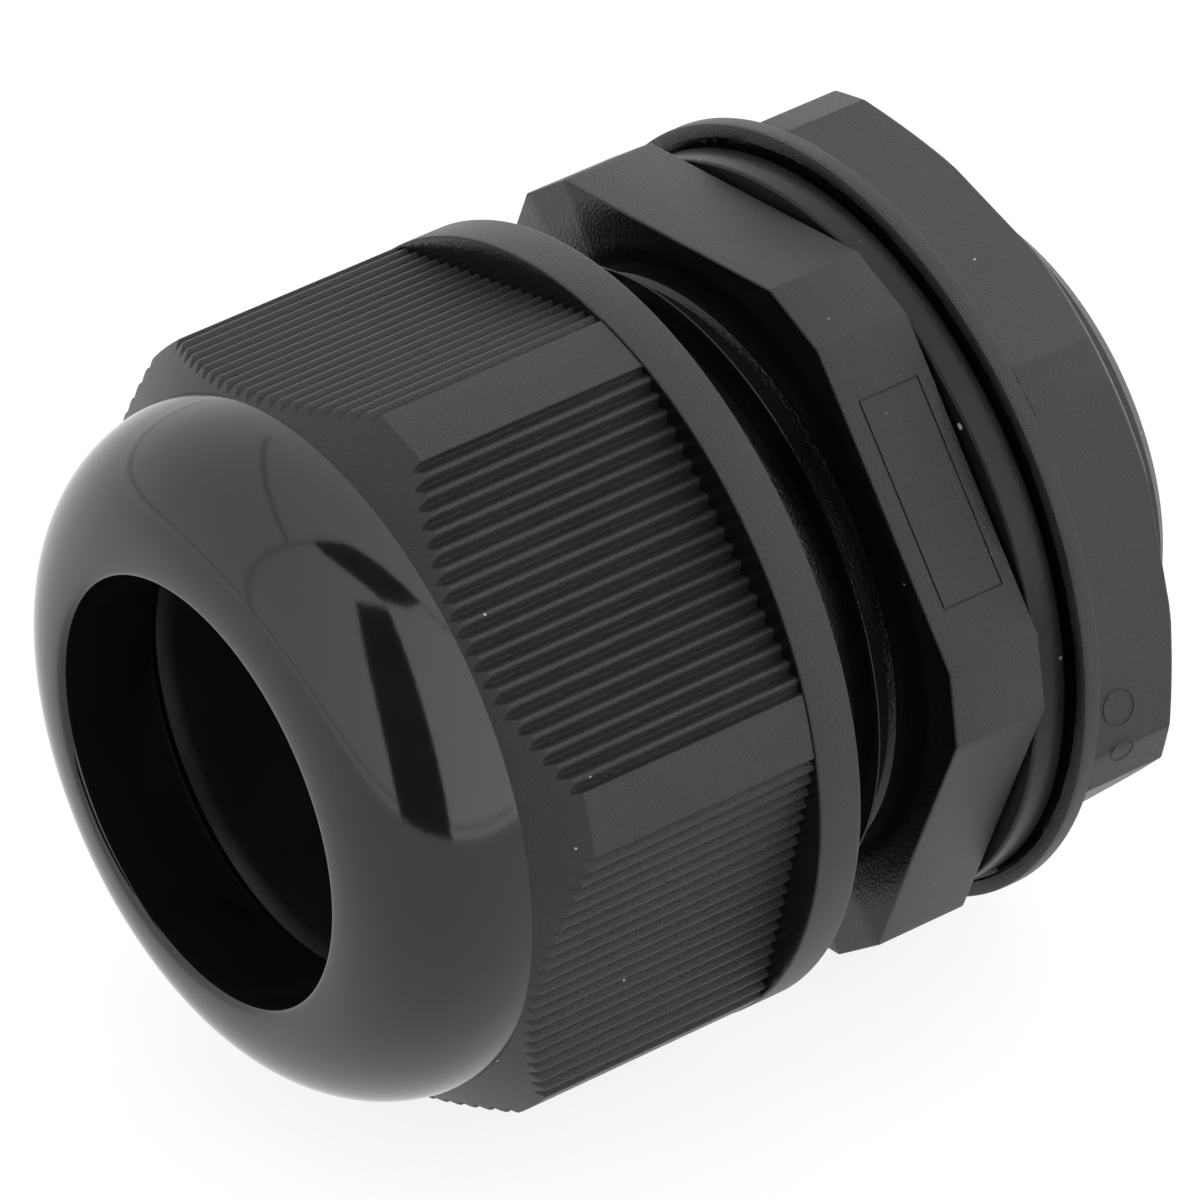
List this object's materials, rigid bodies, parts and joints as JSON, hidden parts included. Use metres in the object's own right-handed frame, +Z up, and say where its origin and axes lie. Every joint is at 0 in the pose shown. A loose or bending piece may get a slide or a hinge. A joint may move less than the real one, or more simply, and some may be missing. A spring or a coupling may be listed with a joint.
{
  "type": "cable gland",
  "caption": "Black plastic cable gland: a domed cap nut tightens over clamping fingers and a rubber bush, with a panel gasket and a locknut on the entry thread.",
  "frame": {"origin": "midpoint of the overall box in X and Y at its lowest level, where the round flanges of the cap and the locknut rest on a surface", "axes": "+Z up; the gland's axis runs along +Y at the height of the flange radius, with the domed cap at -Y and the entry thread at +Y"},
  "size_m": [0.0462, 0.056, 0.0462],
  "materials": {
    "cap_plastic": "black moulded nylon, polished on the dome and satin on the flats",
    "body_plastic": "black moulded nylon, satin with a fine moulded grain",
    "finger_plastic": "black moulded nylon, satin",
    "locknut_plastic": "black moulded nylon, satin with gate marks",
    "seal_rubber": "smooth black rubber",
    "gasket_rubber": "smooth black rubber with a soft sheen"
  },
  "bodies": {
    "gland_body": {"gland_body": "body_plastic"},
    "sealing_insert": {"sealing_insert": "seal_rubber"},
    "cap_nut": {"cap_nut": "cap_plastic"},
    "clamping_finger_01": {"clamping_finger_01": "finger_plastic"},
    "clamping_finger_02": {"clamping_finger_02": "finger_plastic"},
    "clamping_finger_03": {"clamping_finger_03": "finger_plastic"},
    "clamping_finger_04": {"clamping_finger_04": "finger_plastic"},
    "clamping_finger_05": {"clamping_finger_05": "finger_plastic"},
    "clamping_finger_06": {"clamping_finger_06": "finger_plastic"},
    "clamping_finger_07": {"clamping_finger_07": "finger_plastic"},
    "clamping_finger_08": {"clamping_finger_08": "finger_plastic"},
    "clamping_finger_09": {"clamping_finger_09": "finger_plastic"},
    "clamping_finger_10": {"clamping_finger_10": "finger_plastic"},
    "clamping_finger_11": {"clamping_finger_11": "finger_plastic"},
    "clamping_finger_12": {"clamping_finger_12": "finger_plastic"},
    "clamping_finger_13": {"clamping_finger_13": "finger_plastic"},
    "clamping_finger_14": {"clamping_finger_14": "finger_plastic"},
    "clamping_finger_15": {"clamping_finger_15": "finger_plastic"},
    "clamping_finger_16": {"clamping_finger_16": "finger_plastic"},
    "panel_gasket": {"panel_gasket": "gasket_rubber"},
    "locknut": {"locknut": "locknut_plastic"}
  },
  "joints": [
    {"name": "cap_travel", "type": "slide", "parent": "gland_body", "child": "sealing_insert", "axis": [0, 1, 0], "range_m": [0, 0.004], "deforming": ["sealing_insert"]},
    {"name": "cap_turn", "type": "hinge", "parent": "sealing_insert", "child": "cap_nut", "pos_m": [0, 0, 0.0231], "axis": [0, 1, 0], "range_deg": [0, 720]},
    {"name": "gasket_slide", "type": "slide", "parent": "gland_body", "child": "panel_gasket", "axis": [0, 1, 0], "range_m": [0, 0.012]},
    {"name": "locknut_turn", "type": "hinge", "parent": "panel_gasket", "child": "locknut", "pos_m": [0, 0, 0.0231], "axis": [0, 1, 0], "range_deg": [0, 2880]},
    {"name": "finger_01_bend", "type": "hinge", "parent": "gland_body", "child": "clamping_finger_01", "pos_m": [0.0162, -0.0105, 0.0231], "axis": [0, 0, -1], "range_deg": [0, 12]},
    {"name": "finger_02_bend", "type": "hinge", "parent": "gland_body", "child": "clamping_finger_02", "pos_m": [0.01497, -0.0105, 0.0169], "axis": [-0.3827, 0, -0.9239], "range_deg": [0, 12]},
    {"name": "finger_03_bend", "type": "hinge", "parent": "gland_body", "child": "clamping_finger_03", "pos_m": [0.01146, -0.0105, 0.01164], "axis": [-0.7071, 0, -0.7071], "range_deg": [0, 12]},
    {"name": "finger_04_bend", "type": "hinge", "parent": "gland_body", "child": "clamping_finger_04", "pos_m": [0.0062, -0.0105, 0.00813], "axis": [-0.9239, 0, -0.3827], "range_deg": [0, 12]},
    {"name": "finger_05_bend", "type": "hinge", "parent": "gland_body", "child": "clamping_finger_05", "pos_m": [0, -0.0105, 0.0069], "axis": [-1, 0, 0], "range_deg": [0, 12]},
    {"name": "finger_06_bend", "type": "hinge", "parent": "gland_body", "child": "clamping_finger_06", "pos_m": [-0.0062, -0.0105, 0.00813], "axis": [-0.9239, 0, 0.3827], "range_deg": [0, 12]},
    {"name": "finger_07_bend", "type": "hinge", "parent": "gland_body", "child": "clamping_finger_07", "pos_m": [-0.01146, -0.0105, 0.01164], "axis": [-0.7071, 0, 0.7071], "range_deg": [0, 12]},
    {"name": "finger_08_bend", "type": "hinge", "parent": "gland_body", "child": "clamping_finger_08", "pos_m": [-0.01497, -0.0105, 0.0169], "axis": [-0.3827, 0, 0.9239], "range_deg": [0, 12]},
    {"name": "finger_09_bend", "type": "hinge", "parent": "gland_body", "child": "clamping_finger_09", "pos_m": [-0.0162, -0.0105, 0.0231], "axis": [0, 0, 1], "range_deg": [0, 12]},
    {"name": "finger_10_bend", "type": "hinge", "parent": "gland_body", "child": "clamping_finger_10", "pos_m": [-0.01497, -0.0105, 0.0293], "axis": [0.3827, 0, 0.9239], "range_deg": [0, 12]},
    {"name": "finger_11_bend", "type": "hinge", "parent": "gland_body", "child": "clamping_finger_11", "pos_m": [-0.01146, -0.0105, 0.03456], "axis": [0.7071, 0, 0.7071], "range_deg": [0, 12]},
    {"name": "finger_12_bend", "type": "hinge", "parent": "gland_body", "child": "clamping_finger_12", "pos_m": [-0.0062, -0.0105, 0.03807], "axis": [0.9239, 0, 0.3827], "range_deg": [0, 12]},
    {"name": "finger_13_bend", "type": "hinge", "parent": "gland_body", "child": "clamping_finger_13", "pos_m": [0, -0.0105, 0.0393], "axis": [1, 0, 0], "range_deg": [0, 12]},
    {"name": "finger_14_bend", "type": "hinge", "parent": "gland_body", "child": "clamping_finger_14", "pos_m": [0.0062, -0.0105, 0.03807], "axis": [0.9239, 0, -0.3827], "range_deg": [0, 12]},
    {"name": "finger_15_bend", "type": "hinge", "parent": "gland_body", "child": "clamping_finger_15", "pos_m": [0.01146, -0.0105, 0.03456], "axis": [0.7071, 0, -0.7071], "range_deg": [0, 12]},
    {"name": "finger_16_bend", "type": "hinge", "parent": "gland_body", "child": "clamping_finger_16", "pos_m": [0.01497, -0.0105, 0.0293], "axis": [0.3827, 0, -0.9239], "range_deg": [0, 12]}
  ],
  "couplings": [
    {"joint": "cap_turn", "follows": "cap_travel", "rad_per_m": 3141.6},
    {"joint": "locknut_turn", "follows": "gasket_slide", "rad_per_m": 4188.8},
    {"joint": "finger_01_bend", "follows": "cap_travel", "rad_per_m": 52.359},
    {"joint": "finger_02_bend", "follows": "cap_travel", "rad_per_m": 52.359},
    {"joint": "finger_03_bend", "follows": "cap_travel", "rad_per_m": 52.359},
    {"joint": "finger_04_bend", "follows": "cap_travel", "rad_per_m": 52.359},
    {"joint": "finger_05_bend", "follows": "cap_travel", "rad_per_m": 52.359},
    {"joint": "finger_06_bend", "follows": "cap_travel", "rad_per_m": 52.359},
    {"joint": "finger_07_bend", "follows": "cap_travel", "rad_per_m": 52.359},
    {"joint": "finger_08_bend", "follows": "cap_travel", "rad_per_m": 52.359},
    {"joint": "finger_09_bend", "follows": "cap_travel", "rad_per_m": 52.359},
    {"joint": "finger_10_bend", "follows": "cap_travel", "rad_per_m": 52.359},
    {"joint": "finger_11_bend", "follows": "cap_travel", "rad_per_m": 52.359},
    {"joint": "finger_12_bend", "follows": "cap_travel", "rad_per_m": 52.359},
    {"joint": "finger_13_bend", "follows": "cap_travel", "rad_per_m": 52.359},
    {"joint": "finger_14_bend", "follows": "cap_travel", "rad_per_m": 52.359},
    {"joint": "finger_15_bend", "follows": "cap_travel", "rad_per_m": 52.359},
    {"joint": "finger_16_bend", "follows": "cap_travel", "rad_per_m": 52.359}
  ]
}
